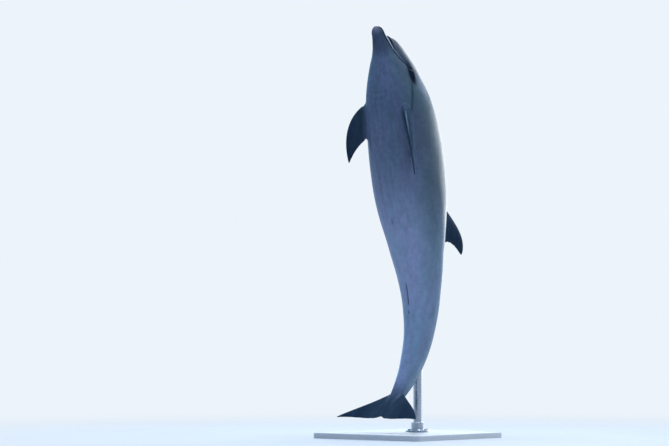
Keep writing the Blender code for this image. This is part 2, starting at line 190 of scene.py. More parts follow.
# Small forms of the skin, in metres. A ridge or groove is its height along the skin's normal, its
# distance from a line, and its width. A spot is its height, place and length, then place and width across.
# Spans of four are where a form begins, is full, starts to fade and ends.
face = {
    "gape": 0.288, "formsEnd": 0.40,
    "lipGroove": [(-0.0036, 0, 0.0024)], "lipGrooveEnd": (0.276, 0.292),
    "lips": [(0.0012, 0.0060, 0.0036), (0.0016, -0.0062, 0.0042)], "lipSpan": (0.0, 0.01, 0.20, 0.288),
    # behind and above the corner of the mouth: a dimple, a soft cheek and three folds
    "corner": [(-0.0022, 0, 0.0045, 0, 0.0045), (0.0035, 0.012, 0.033, -0.016, 0.022)],
    "folds": [(-0.0007, 0.0170, 0.0014), (-0.0007, 0.0225, 0.0014), (-0.0007, 0.0280, 0.0014)],
    "foldCentre": 0.010, "foldFade": (0.008, 0.020),
    # the crease round the root of the beak, and the melon's swell above it
    "crease": [
        (0.055, 0.066), (0.080, 0.047), (0.095, 0.036), (0.112, 0.028), (0.150, 0.019), (0.205, 0.0085),
    ],
    "creaseForms": [(-0.0045, 0, 0.0036), (0.0030, 0.014, 0.010)], "creaseSpan": (0.060, 0.080, 0.14, 0.200),
    "beakHollow": [(-0.0016, 0.055, 0.022, 0, 0.022)], "beakTop": (0.012, 0.030),
    "earPlace": (0.402, 0.028), "ear": [(-0.0026, 0, 0.0022), (0.0006, 0.005, 0.002)],
}
blowhole = {
    "along": 0.352, "halfWidth": 0.019, "sweep": 0.011, "above": (0.05, 0.12),
    "slit": [(-0.0075, 0, 0.0021)], "slitFade": (0.82, 1.12),
    "lip": [(0.0013, 0.0055, 0.0032)], "lipFade": (0.9, 1.6),
    "plug": [(0.0030, -0.011, 0.0105, 0, 0.014)],
    "ring": [(-0.0009, 0.036, 0.012)], "ringCentre": -0.006, "ringLength": 0.85,
}
under = {
    "below": (0.02, 0.06),
    "navelAndVent": [(-0.0022, 1.245, 0.020, 0, 0.0065), (-0.0035, 1.872, 0.011, 0, 0.0045)],
    "slit": [(-0.0045, 0, 0.0042)], "slitSpan": (1.655, 1.685, 1.805, 1.830),
    "slitLips": [(0.0020, 0.013, 0.008)], "slitLipSpan": (1.64, 1.70, 1.79, 1.84),
    "folds": [(-0.0005, 0.385, 0.006), (-0.0005, 0.419, 0.006), (-0.0005, 0.453, 0.006)],
    "foldCurve": 7 / 3, "foldBreadth": 0.085,
}
muscle = {
    "keel": [(0.0040, 0, 0.009)], "keelSpan": (1.90, 2.20, 2.44, 2.56),
    "neck": [(-0.0045, 0.43, 0.055)], "neckAbove": (0.05, 0.16),
    "shoulder": [(0.0025, 0.60, 0.09, -0.02, 0.08)],
    # unevenness: height, waves along and up, waves up and across, shift, and where it begins
    "wave": (0.0007, (23, 9), (31, 17), 1.3, (0.30, 0.60)),
}
eye = {
    "along": 0.326, "high": 0.042, "radius": 0.017, "shows": 0.004, "halfLength": 0.0142,
    "halfHeight": 0.0080, "lidShares": (1.05, 0.90), "lidCurve": 2.2, "tilt": 12.0, "lid": 0.0020,
    "lidBlend": (0.0015, 0.0150), "orbit": (0.0035, 0.036),
    # folds round the opening: height, distance, width, share below the eye
    "lidFolds": [
        (0.0007, 0.0016, 0.0013, 1.0),
        (-0.0013, 0.0068, 0.0013, 0.7),
        (-0.0008, 0.0120, 0.0013, 0.5),
        (-0.0005, 0.0175, 0.0014, 1.0),
    ],
    "opening": (-0.0009, 0.0005), "ballGap": 0.0035, "zone": 0.09, "zoneFade": (0.055, 0.085),
}


def ridges(rows, distance):
    return sum(height * hump(distance - offset, width) for height, offset, width in rows)


def spots(rows, along, across):
    return sum(ridges([(height, place, length)], along) * hump(across - level, breadth)
               for height, place, length, level, breadth in rows)


def creaseDistance(along, high):
    knots, heights = np.array(face["crease"]).T
    step = 0.004
    here = smoothTrack(knots, heights, along)
    slope = (smoothTrack(knots, heights, along + step) - here) / step
    return (high - here) / np.sqrt(1 + slope * slope)


def mouthForms(along, side, high):
    overLip = high - mouthHeight(along)
    height = ridges(face["lipGroove"], overLip) * (1 - ramp(along, *face["lipGrooveEnd"]))
    height += ridges(face["lips"], overLip) * between(along, *face["lipSpan"])
    behind = along - face["gape"]
    above = high - mouthHeight(np.array([face["gape"]]))
    fold = np.hypot(behind + face["foldCentre"], above * 0.8)
    fade, breadth = face["foldFade"]
    height += spots(face["corner"], behind, above)
    height += ridges(face["folds"], fold) * ramp(behind, 0, fade) * hump(above, breadth)
    return height * (along < face["formsEnd"])


def beakForms(along, side, high):
    height = ridges(face["creaseForms"], creaseDistance(along, high)) * between(along, *face["creaseSpan"])
    return height + spots(face["beakHollow"], along, side) * ramp(high, *face["beakTop"])


def blowholeForms(along, side, high):
    breadth = np.abs(side) / blowhole["halfWidth"]
    behind = along - blowhole["along"]
    line = behind + blowhole["sweep"] * breadth**2
    height = ridges(blowhole["slit"], line) * (1 - ramp(breadth, *blowhole["slitFade"]))
    height += ridges(blowhole["lip"], line) * (1 - ramp(breadth, *blowhole["lipFade"]))
    height += spots(blowhole["plug"], line, side)
    reach = np.hypot(behind - blowhole["ringCentre"], side * blowhole["ringLength"])
    height += ridges(blowhole["ring"], reach)
    return height * ramp(high, *blowhole["above"])


def underForms(along, side, high):
    height = spots(under["navelAndVent"], along, side)
    height += ridges(under["slit"], side) * between(along, *under["slitSpan"])
    height += ridges(under["slitLips"], np.abs(side)) * between(along, *under["slitLipSpan"])
    folds = ridges(under["folds"], along + under["foldCurve"] * side**2)
    return (height + folds * hump(side, under["foldBreadth"])) * ramp(-high, *under["below"])


def muscleForms(along, side, high):
    amount, first, second, shift, begins = muscle["wave"]
    wave = np.sin(along * first[0] + high * first[1]) * np.sin(high * second[0] + side * second[1] + shift)
    height = amount * wave * ramp(along, *begins) + spots(muscle["shoulder"], along, high)
    height += ridges(muscle["keel"], side) * between(along, *muscle["keelSpan"])
    height += ridges(muscle["neck"], along) * ramp(high, *muscle["neckAbove"])
    ear = np.hypot(along - face["earPlace"][0], high - face["earPlace"][1])
    return height + ridges(face["ear"], ear)


# middle of the ball and its outward, forward and upward directions, on the straight body
def eyeFrame(side):
    step = 0.01
    here, ahead = [bodySize(np.array([along])) for along in (eye["along"], eye["along"] + step)]
    halfWidth, back, full = [here[index][0] for index in (0, 1, 3)]
    out = halfWidth * (1 - (eye["high"] / back)**full)**(1 / full)
    slope = np.array([0, (out / halfWidth)**(full - 1) / halfWidth, (eye["high"] / back)**(full - 1) / back])
    slope /= np.linalg.norm(slope)
    centre = np.array([eye["along"], out, eye["high"]]) + slope * (eye["shows"] - eye["radius"])
    outward = slope - np.array([(ahead[0][0] - halfWidth) / step * slope[1], 0, 0])
    outward /= np.linalg.norm(outward)
    tilt = math.radians(eye["tilt"])
    forward = np.array([-math.cos(tilt), 0, -math.sin(tilt)])
    forward -= outward * forward.dot(outward)
    forward /= np.linalg.norm(forward)
    upward = np.cross(forward, outward)
    upward *= np.sign(upward[2])
    return [vector * np.array([1, side, 1]) for vector in (centre, outward, forward, upward)]


# distance from the opening's edge, from the ball's middle, and heights over it
def lidDistance(points, side):
    centre, outward, forward, upward = eyeFrame(side)
    offset = points - centre
    a = offset @ forward
    b = offset @ upward
    lidHalf = eye["halfHeight"] * np.where(b > 0, *eye["lidShares"])
    share = np.abs(a) / eye["halfLength"]
    edge = lidHalf * np.maximum(1 - share**eye["lidCurve"], 0)
    distance = np.where(share < 1, np.abs(b) - edge, np.hypot(np.abs(a) - eye["halfLength"], b))
    return distance, np.hypot(a, b), b, offset @ outward


# lids round the ball: the skin dips under it inside the opening and rests on it outside
def shapeLids(points, side):
    outward = eyeFrame(side)[1]
    distance, reach, b, level = lidDistance(points, side)
    near = np.hypot(reach, level) < eye["zone"]
    ball = np.sqrt(np.maximum(eye["radius"]**2 - reach**2, 0))
    ballEdge = np.where(reach < eye["radius"] * 0.93, ball, eye["radius"] * 0.37)
    swell, breadth = eye["orbit"]
    orbit = level + swell * hump(reach, breadth)
    lid = np.maximum(ballEdge + eye["lid"], orbit - 0.004)
    blend = ramp(distance, *eye["lidBlend"])
    outer = lid * (1 - blend) + orbit * blend
    for amount, place, width, below in eye["lidFolds"]:
        outer += amount * hump(distance - place, width) * np.where(b > 0, 1, below)
    inside = 1 - ramp(distance, *eye["opening"])
    target = outer * (1 - inside) + np.minimum(ball - eye["ballGap"], outer) * inside
    weight = np.where(near, 1 - ramp(reach, *eye["zoneFade"]), 0) * (points[:, 1] * side > 0)
    return points + outward * ((target - level) * weight)[:, None]


# Making the skin.
skinMesh = {
    "noseRows": 9, "noseStart": 0.04,
    # up to this far along, with rows about this far apart
    "rows": [(0.42, 0.0088), (1.95, 0.0190), (2.60, 0.0125), (2.63, 0.0060)],
    "tailGap": 2e-4, "merge": 2e-5,
    # finer faces: degrees or breadth, and along
    "headEnd": 0.42, "flukeZone": 2.33, "flipperZone": ((14, 66), (0.42, 0.84)),
    "dorsalZone": (0.085, (1.00, 1.58)), "underZones": (0.03, [(1.195, 1.295), (1.60, 1.92)]),
    # still finer in two steps: near the lips and behind them, the crease, the blowhole, the ear, the eye
    "fineReach": (0.0105, 0.014, 0.0095, 0.028, 0.010, 0.033), "creaseZone": (0.065, 0.20),
    "fineSteps": (1.9, 0.9), "fineLids": 0.0265,
    # how far the hollows at the fins' roots reach, and how softly
    "filletReach": 0.050, "flipperFillet": 0.026, "filletFade": (0.16, 1.0),
    "filletStep": 0.6, "filletTurns": 45,
}


def rowPlaces():
    swing = np.linspace(skinMesh["noseStart"], math.pi / 2, skinMesh["noseRows"])
    places = list(body["noseRound"] * (1 - np.cos(swing)))
    for end, spacing in skinMesh["rows"]:
        count = max(1, round((end - places[-1]) / spacing))
        places += list(np.linspace(places[-1], end, count + 1)[1:])
    places[-1] -= skinMesh["tailGap"]
    return np.array(places)


def setMode(name):
    bpy.ops.object.mode_set(mode=name)


def deselectAll():
    bpy.ops.object.select_all(action="DESELECT")


def pick(piece):
    deselectAll()
    piece.select_set(True)
    bpy.context.view_layer.objects.active = piece


def addPiece(name, operator, **settings):
    deselectAll()
    operator(**settings)
    piece = bpy.context.object
    piece.name = name
    return piece


# a flat sheet that is shaped later: x runs along the form, y round it
def addPattern(name, rows, columns):
    grid = bpy.ops.mesh.primitive_grid_add
    return addPiece(name, grid, x_subdivisions=rows, y_subdivisions=columns, size=1)


def readNumbers(items, name, width=1, kind=int):
    numbers = np.empty(len(items) * width, kind)
    items.foreach_get(name, numbers)
    return numbers.reshape(-1, width)


def readPoints(piece):
    return readNumbers(piece.data.vertices, "co", 3, float)


def writePoints(piece, points):
    piece.data.vertices.foreach_set("co", np.ascontiguousarray(points, float).ravel())
    piece.data.update()


def keepVectors(piece, name, vectors):
    layer = piece.data.attributes.new(name, "FLOAT_VECTOR", "POINT")
    layer.data.foreach_set("vector", vectors.astype(np.float32).ravel())


# selects the faces or edges that the test picks, in edit mode
def selectWhere(piece, kind, test):
    shape = bmesh.from_edit_mesh(piece.data)
    bpy.ops.mesh.select_mode(type=kind)
    bpy.ops.mesh.select_all(action="DESELECT")
    for item in shape.faces if kind == "FACE" else shape.edges:
        item.select_set(bool(test(item)))
    bmesh.update_edit_mesh(piece.data)


# cuts in four the faces whose middles the test picks
def refine(piece, test):
    setMode("EDIT")
    shape = bmesh.from_edit_mesh(piece.data)
    middles = np.array([item.calc_center_median()[:2] for item in shape.faces])
    wanted = test(middles[:, 0] + 0.5, middles[:, 1] + 0.5)
    selectWhere(piece, "FACE", lambda item: wanted[item.index])
    bpy.ops.mesh.subdivide(number_cuts=1)
    setMode("OBJECT")


def turnOutward():
    bpy.ops.mesh.select_all(action="SELECT")
    bpy.ops.mesh.normals_make_consistent(inside=False)
    setMode("OBJECT")


# joins the sheet's two long edges and closes its two ends
def closeTube(merge):
    setMode("EDIT")
    bpy.ops.mesh.select_mode(type="VERT")
    bpy.ops.mesh.select_all(action="SELECT")
    bpy.ops.mesh.remove_doubles(threshold=merge)
    bpy.ops.mesh.select_all(action="DESELECT")
    bpy.ops.mesh.select_non_manifold(extend=False)
    bpy.ops.mesh.fill_holes(sides=0)
    turnOutward()


def makeBody():
    places = rowPlaces()
    rows = len(places) - 1
    pattern = addPattern("skin", rows, body["sides"])
    eyeCentre = eyeFrame(1)[0]

    def unroll(x, y):
        return np.interp(x * rows, np.arange(rows + 1), places), -math.pi / 2 + y * 2 * math.pi

    # along, distance from the middle plane, high
    def placeOf(x, y):
        along, turn = unroll(x, y)
        side, high = bodyPoint(along, turn)[:, 1:].T
        return along, np.abs(side), high

    def eyeGap(x, y):
        return np.linalg.norm(np.stack(placeOf(x, y), -1) - eyeCentre, axis=1)

    # distance from the nearest small form, as a share of how far its finer faces reach
    def nearness(x, y):
        along, side, high = placeOf(x, y)
        lips, behind, crease, hole, ear, eyes = skinMesh["fineReach"]
        overLip = np.abs(high - mouthHeight(along))
        overCrease = np.abs(creaseDistance(along, high))
        earGap = np.hypot(along - face["earPlace"][0], high - face["earPlace"][1])
        holeGap = np.hypot(along - blowhole["along"], side)
        return np.min([
            eyeGap(x, y) / eyes,
            earGap / ear,
            np.maximum(overLip / lips, (along - face["gape"]) / behind),
            np.where(within(along, *skinMesh["creaseZone"]), overCrease / crease, 9),
            np.where(high > 0, holeGap / hole, 9),
        ], axis=0)

    def coarseZones(x, y):
        along, side, high = placeOf(x, y)
        drop = np.degrees(np.arctan2(-high, side))
        zones = (along < skinMesh["headEnd"]) | (along > skinMesh["flukeZone"])
        angles, span = skinMesh["flipperZone"]
        zones |= within(drop, *angles) & within(along, *span)
        breadth, span = skinMesh["dorsalZone"]
        zones |= (side < breadth) & (high > 0) & within(along, *span)
        breadth, spans = skinMesh["underZones"]
        for span in spans:
            zones |= (side < breadth) & (high < 0) & within(along, *span)
        return zones

    refine(pattern, coarseZones)
    for scale in skinMesh["fineSteps"]:
        refine(pattern, lambda x, y: nearness(x, y) < scale)
    refine(pattern, lambda x, y: eyeGap(x, y) < skinMesh["fineLids"])
    flat = readPoints(pattern)
    along, turn = unroll(flat[:, 0] + 0.5, flat[:, 1] + 0.5)
    points = bodyPoint(along, turn)
    side, high = points[:, 1:].T
    forms = (mouthForms, beakForms, blowholeForms, underForms, muscleForms)
    height = sum(form(along, side, high) for form in forms)
    points = points + bodyNormal(along, turn) * height[:, None]
    for sign in (1, -1):
        points = shapeLids(points, sign)
    writePoints(pattern, bend(points))
    closeTube(skinMesh["merge"])
    print("body skin:", len(pattern.data.polygons), "faces")
    return pattern


# The fins: curves of their front and rear edges, as (along, out) with two handles between the ends.
# Thickness is at the root, at the tip, and how it thins. Nicks are where, how deep and how wide.
dorsalFin = {
    "lead": [(1.050, 0.200), (1.222, 0.235), (1.450, 0.5515), (1.571, 0.4316)],
    "trail": [(1.490, 0.160), (1.468, 0.292), (1.434, 0.316), (1.571, 0.4316)],
    "thickness": (0.056, 0.010, 1.0),
    "nicks": [(0.52, 0.0045, 0.010), (0.66, 0.0030, 0.012), (0.80, 0.0035, 0.008)],
}
flipper = {
    "root": 0.57,
    "lead": [(-0.095, 0.091), (-0.133, 0.242), (0.024, 0.400), (0.300, 0.366)],
    "trail": [(0.092, 0.118), (0.147, 0.199), (0.128, 0.279), (0.300, 0.366)],
    "thickness": (0.044, 0.007, 0.6), "nicks": [], "hinge": 0.150, "zone": (0.40, 0.95),
    # side, droop of the shoulder and of the blade, sweep, shoulder drawn back, blade held off
    "left": (1, 34.0, 52.0, 22.0, 0.030, 0.050),
    "right": (-1, 40.0, 40.0, 0.0, 0.000, 0.000),
}
fluke = {
    "lead": [(2.360, -0.004), (2.460, 0.030), (2.540, 0.220), (2.700, 0.325)],
    "trail": [(2.650, -0.004), (2.700, 0.050), (2.655, 0.200), (2.700, 0.325)],
    "thickness": (0.040, 0.008, 1.0), "droop": 0.020,
    "nicks": [(0.30, 0.0030, 0.012), (0.55, 0.0025, 0.010), (0.72, 0.0030, 0.008)],
}
finMesh = {
    "rows": 50, "columns": 44, "edge": 0.0022, "maxShare": 0.3, "tipStop": 0.985, "flare": 0.020,
    "flareFade": 0.10, "merge": 1e-5,
}


def bezier(points, t):
    a, b, c, d = [np.array(point) for point in points]
    t = t[:, None]
    return a * (1 - t)**3 + 3 * b * t * (1 - t)**2 + 3 * c * t**2 * (1 - t) + d * t**3


# thickness from the front edge (0) to the rear one (1), 1 at its fullest
def foil(share):
    return np.sqrt(share) * (1 - share) / (math.sqrt(1 / 3) * 2 / 3)


def makeFin(plan, name, place):
    pattern = addPattern(name, finMesh["rows"], finMesh["columns"])
    flat = readPoints(pattern)
    t = np.sin((flat[:, 0] + 0.5) * math.pi / 2) * finMesh["tipStop"]
    turn = (flat[:, 1] + 0.5) * 2 * math.pi
    share = (1 - np.cos(turn)) / 2
    front = bezier(plan["lead"], t)
    rear = bezier(plan["trail"], t)
    chord = np.linalg.norm(rear - front, axis=1)
    for where, depth, width in plan["nicks"]:
        bite = depth * hump(t - where, width)
        rear = rear + (front - rear) / chord[:, None] * bite[:, None]
    atRoot, atTip, thinning = plan["thickness"]
    full = atRoot + (atTip - atRoot) * t**thinning + finMesh["flare"] * np.exp(-t / finMesh["flareFade"])
    full = np.minimum(full, finMesh["edge"] + finMesh["maxShare"] * chord)
    half = (finMesh["edge"] * np.sqrt(np.abs(np.sin(turn))) + (full - finMesh["edge"]) * foil(share)) / 2
    line = front + (rear - front) * share[:, None]
    writePoints(pattern, bend(place(line, half * np.sign(np.sin(turn) + 1e-9))))
    closeTube(finMesh["merge"])
    return pattern


def dorsalPlace(line, offset):
    return np.stack([line[:, 0], offset, line[:, 1]], -1)


# a flipper's hinge, and its directions back, out and through its thickness, on the left side
def flipperFrame(pose):
    drop, blade, sweep = np.radians(pose[1:4])
    shoulder, lift = pose[4:]
    down = np.array([0, math.cos(blade), -math.sin(blade)])
    back = np.array([math.cos(sweep), 0, 0]) - down * math.sin(sweep)
    out = np.array([math.sin(sweep), 0, 0]) + down * math.cos(sweep)
    hinge = np.array([0, math.cos(drop), -math.sin(drop)]) * flipper["hinge"] + down * lift
    hinge[0] = flipper["root"] + shoulder
    return hinge, np.array([back, out, [0, math.sin(blade), math.cos(blade)]])


def flipperPlace(pose):
    hinge, directions = flipperFrame(pose)

    def place(line, offset):
        flat = np.stack([line[:, 0], line[:, 1] - flipper["hinge"], offset], -1)
        return (hinge + flat @ directions) * np.array([1, pose[0], 1])
    return place


# how near a point of the skin is to the front edge of a flipper, how far out, and on which face
def flipperEdge(places, pose):
    hinge, directions = flipperFrame(pose)
    flat = (places * np.array([1, pose[0], 1]) - hinge) @ directions.T
    edge = bezier(flipper["lead"], np.linspace(0, 1, 60)) - np.array([0, flipper["hinge"]])
    gaps = np.array([np.hypot(*(flat[:, :2] - point).T) for point in edge])
    return gaps.min(axis=0), gaps.argmin(axis=0) / len(edge), flat[:, 2]


def flukePlace(side):
    span = fluke["lead"][-1][1]

    def place(line, offset):
        high = offset - fluke["droop"] * (line[:, 1] / span)**2
        return np.stack([line[:, 0], side * line[:, 1], high], -1)
    return place


def makeFins():
    fins = [makeFin(dorsalFin, "dorsalFin", dorsalPlace)]
    for side, word in ((1, "Left"), (-1, "Right")):
        fins.append(makeFin(flipper, "flipper" + word, flipperPlace(flipper[word.lower()])))
        fins.append(makeFin(fluke, "fluke" + word, flukePlace(side)))
    return fins


# joins the fins to the body, whose faces keep apart by material until the skin is painted
def growTogether(skin, fins):
    for name in ("bodyFaces", "finFaces"):
        faces = bpy.data.materials.new(name)
        for piece in [skin] + fins:
            piece.data.materials.append(faces)
    for fin in fins:
        fin.data.polygons.foreach_set("material_index", np.ones(len(fin.data.polygons), int))
        pick(skin)
        union = skin.modifiers.new("union", "BOOLEAN")
        union.operation = "UNION"
        union.solver = "MANIFOLD"
        union.object = fin
        bpy.ops.object.modifier_apply(modifier=union.name)
        bpy.data.objects.remove(fin)
    triangles = sum(len(polygon.vertices) - 2 for polygon in skin.data.polygons)
    print("joined skin:", len(skin.data.polygons), "faces,", triangles, "triangles")


def seamDistance(skin):
    mesh = skin.data
    owner = {}
    seam = set()
    for polygon in mesh.polygons:
        for key in polygon.edge_keys:
            if owner.setdefault(key, polygon.material_index) != polygon.material_index:
                seam.update(key)
    tree = kdtree.KDTree(len(seam))
    for index in seam:
        tree.insert(mesh.vertices[index].co, index)
    tree.balance()
    return np.array([tree.find(vertex.co)[2] for vertex in mesh.vertices])


def atFlippers(along, here, elsewhere):
    return np.where(within(along, *flipper["zone"]), here, elsewhere)


# rounds the hollow where a fin meets the body
def roundSeams(skin):
    gap = seamDistance(skin)
    first, second = readNumbers(skin.data.edges, "vertices", 2).T
    count = np.bincount(np.concatenate([first, second]), minlength=len(gap))
    points = readPoints(skin)
    reach = atFlippers(unbend(points)[:, 0], skinMesh["flipperFillet"], skinMesh["filletReach"])
    weight = (1 - ramp(gap / reach, *skinMesh["filletFade"])) * skinMesh["filletStep"]
    for turn in range(skinMesh["filletTurns"]):
        total = np.zeros_like(points)
        np.add.at(total, first, points[second])
        np.add.at(total, second, points[first])
        points += (total / count[:, None] - points) * weight[:, None]
    writePoints(skin, points)
    return gap


# Where the marks, the painted shade and the painted highlights lie on the skin, in metres.
marksAndPaintedLight = {
    # how far the fins' colour takes to begin on the body and to be full on the fin: flippers, other fins
    "finOnBody": (0.012, 0.035), "finOnFin": (0.080, 0.035),
    "finOuter": (0.03, 0.17), "flukeBlend": (0.75, 2.20, 2.62),
    # painted shade in the grooves and in the eyes' openings: the crease's share, the groove depth that is
    # fully dark, and where the opening's shade fades and how far it reaches
    "creaseShare": 0.6, "hollowDepth": 0.0035, "opening": (0.0002, 0.0022, 0.03),
    # painted highlight on the edge of the upper lip, where it catches the light: along, and height over the
    # mouth line
    "lipHighlightLine": ([0.075, 0.122, 0.172], [0.013, 0.011, 0.006]),
    "lipHighlightWidth": 0.0042, "lipSpan": (0.045, 0.065, 0.150, 0.185),
    # painted shadow under the melon along the crease at the beak's root: offset and width, then span along
    "creaseLine": (0.004, 0.0075), "creaseSpan": (0.062, 0.078, 0.115, 0.155),
    # painted shade along the mouth's line, over and under it, and how that shifts at the beak's end
    "lineShade": (-0.0075, -0.0030, 0.0005, 0.0040), "lineShadeSnout": (-0.005, -0.003, 0.02, 0.02),
    "snout": (0.0, 0.030), "lineShadeEnd": (0.25, 0.31),
    # painted highlight along the front edge of a flipper, where it catches the light: width, which face,
    # where it begins outward and where it fades
    "edgeHighlightWidth": 0.0065, "edgeHighlightFace": (-0.004, 0.002),
    "edgeHighlightSpan": (0.12, 0.28), "edgeHighlightFade": (0.85, 0.40, 0.62),
}


# what the colours need to know of each point of the skin
def paintFacts(skin, seamGap):
    mesh = skin.data
    places = unbend(readPoints(skin))
    along, side, high = places.T
    back, belly = bodySize(np.maximum(along, 1e-4))[1:3]
    level = high / np.maximum(np.where(high > 0, back, belly), 1e-4)
    around = np.arcsin(np.clip(level, -1, 1)) / (math.pi / 2)
    onFin = np.zeros(len(mesh.vertices), bool)
    for polygon in mesh.polygons:
        if polygon.material_index:
            onFin[list(polygon.vertices)] = True
    onBody = 0.5 - 0.5 * ramp(seamGap, 0, atFlippers(along, *marksAndPaintedLight["finOnBody"]))
    fin = np.where(onFin, 0.5 + 0.5 * ramp(seamGap, 0, atFlippers(along, *marksAndPaintedLight["finOnFin"])), onBody)
    most, start, end = marksAndPaintedLight["flukeBlend"]
    fin = np.maximum(fin, most * ramp(along, start, end))
    # painted shade: darker in the grooves of the mouth, the blowhole, the belly and the beak's crease, and
    # in the gap of each eye's opening
    grooves = sum(form(along, side, high) for form in (mouthForms, blowholeForms, underForms))
    grooves += beakForms(along, side, high) * marksAndPaintedLight["creaseShare"]
    hollowShade = np.clip(-grooves / marksAndPaintedLight["hollowDepth"], 0, 1) * (fin < 0.1)
    start, end, zone = marksAndPaintedLight["opening"]
    for sign in (1, -1):
        distance, reach = lidDistance(places, sign)[:2]
        opening = (1 - ramp(distance, start, end)) * (reach < zone) * (side * sign > 0)
        hollowShade = np.maximum(hollowShade, opening)
    # painted highlight along the upper lip's edge
    overLip = high - mouthHeight(along)
    highlightAt = np.interp(along, *marksAndPaintedLight["lipHighlightLine"])
    lip = hump(overLip - highlightAt, marksAndPaintedLight["lipHighlightWidth"]) * between(along, *marksAndPaintedLight["lipSpan"])
    # painted shade along the mouth's line, and painted shadow under the melon along the beak's crease
    snout = 1 - ramp(along, *marksAndPaintedLight["snout"])
    spans = [limit + snout * wider for limit, wider in zip(marksAndPaintedLight["lineShade"], marksAndPaintedLight["lineShadeSnout"])]
    lineShade = between(overLip, *spans) * (1 - ramp(along, *marksAndPaintedLight["lineShadeEnd"]))
    offset, width = marksAndPaintedLight["creaseLine"]
    crease = hump(creaseDistance(along, high) - offset, width) * between(along, *marksAndPaintedLight["creaseSpan"])
    # painted highlight along each flipper's front edge
    edge = np.zeros(len(places))
    loss, start, end = marksAndPaintedLight["edgeHighlightFade"]
    for word in ("left", "right"):
        near, outward, offset = flipperEdge(places, flipper[word])
        line = hump(near, marksAndPaintedLight["edgeHighlightWidth"]) * ramp(offset, *marksAndPaintedLight["edgeHighlightFace"])
        line *= ramp(outward, *marksAndPaintedLight["edgeHighlightSpan"]) * (1 - loss * ramp(outward, start, end))
        edge = np.maximum(edge, line * (fin > 0.5))
    outer = onFin * ramp(seamGap, *marksAndPaintedLight["finOuter"])
    facts = {"around": around, "fin": fin, "outer": outer, "hollowShade": hollowShade, "lip": lip, "edge": edge}
    facts["lineShade"] = np.maximum(lineShade, crease)
    for name, values in facts.items():
        mesh.attributes.new(name, "FLOAT", "POINT").data.foreach_set("value", values.astype(np.float32))
    keepVectors(skin, "bodyPlace", places)


# Node helpers. A socket knows its own tree, so most of them aren't told which it is.
def feed(node, inputs):
    for key, value in inputs.items():
        socket = node.inputs[key]
        if isinstance(value, bpy.types.NodeSocket):
            node.id_data.links.new(value, socket)
        elif socket.type == "RGBA" and len(value) == 3:
            socket.default_value = (*value, 1)
        else:
            socket.default_value = value


def addNode(tree, kind, inputs=(), **settings):
    node = tree.nodes.new("ShaderNode" + kind)
    for key, value in settings.items():
        setattr(node, key, value)
    feed(node, dict(inputs))
    return node


def treeOf(*values):
    return next(value.id_data for value in values if isinstance(value, bpy.types.NodeSocket))


def maths(operation, *values):
    result = values[0]
    for value in values[1:]:
        node = addNode(treeOf(result, value), "Math", {0: result, 1: value}, operation=operation)
        result = node.outputs[0]
    return result


def times(*values):
    return maths("MULTIPLY", *values)


def plus(*values):
    return maths("ADD", *values)


def softStep(value, low, high, start=0.0, end=1.0):
    inputs = {"Value": value, "From Min": low, "From Max": high, "To Min": start, "To Max": end}
    return addNode(value.id_data, "MapRange", inputs, interpolation_type="SMOOTHSTEP").outputs[0]


def softSpan(value, start, full, fading, end):
    return times(softStep(value, start, full), softStep(value, fading, end, 1.0, 0.0))


def mixColours(share, first, second, blend="MIX"):
    tree = treeOf(share, first, second)
    inputs = {0: share, 6: first, 7: second}
    return addNode(tree, "Mix", inputs, data_type="RGBA", blend_type=blend).outputs[2]


def noise(vector, scale, detail=4.0, roughness=0.5):
    inputs = {"Vector": vector, "Scale": scale, "Detail": detail, "Roughness": roughness}
    return addNode(vector.id_data, "TexNoise", inputs).outputs[0]


def vectorMath(operation, first, second=(0, 0, 0), output=0):
    node = addNode(first.id_data, "VectorMath", {0: first, 1: second}, operation=operation)
    return node.outputs[output]


def vectorLength(vector):
    return vectorMath("LENGTH", vector, output=1)


def attribute(tree, name, output="Fac"):
    return addNode(tree, "Attribute", attribute_name=name).outputs[output]


def objectPlace(tree):
    return addNode(tree, "TexCoord").outputs["Object"]


def bump(height, strength, distance):
    inputs = {"Strength": strength, "Distance": distance, "Height": height}
    return addNode(height.id_data, "Bump", inputs).outputs[0]


def newMaterial(name):
    material = bpy.data.materials.new(name)
    material.use_nodes = True
    return material, material.node_tree, material.node_tree.nodes["Principled BSDF"]


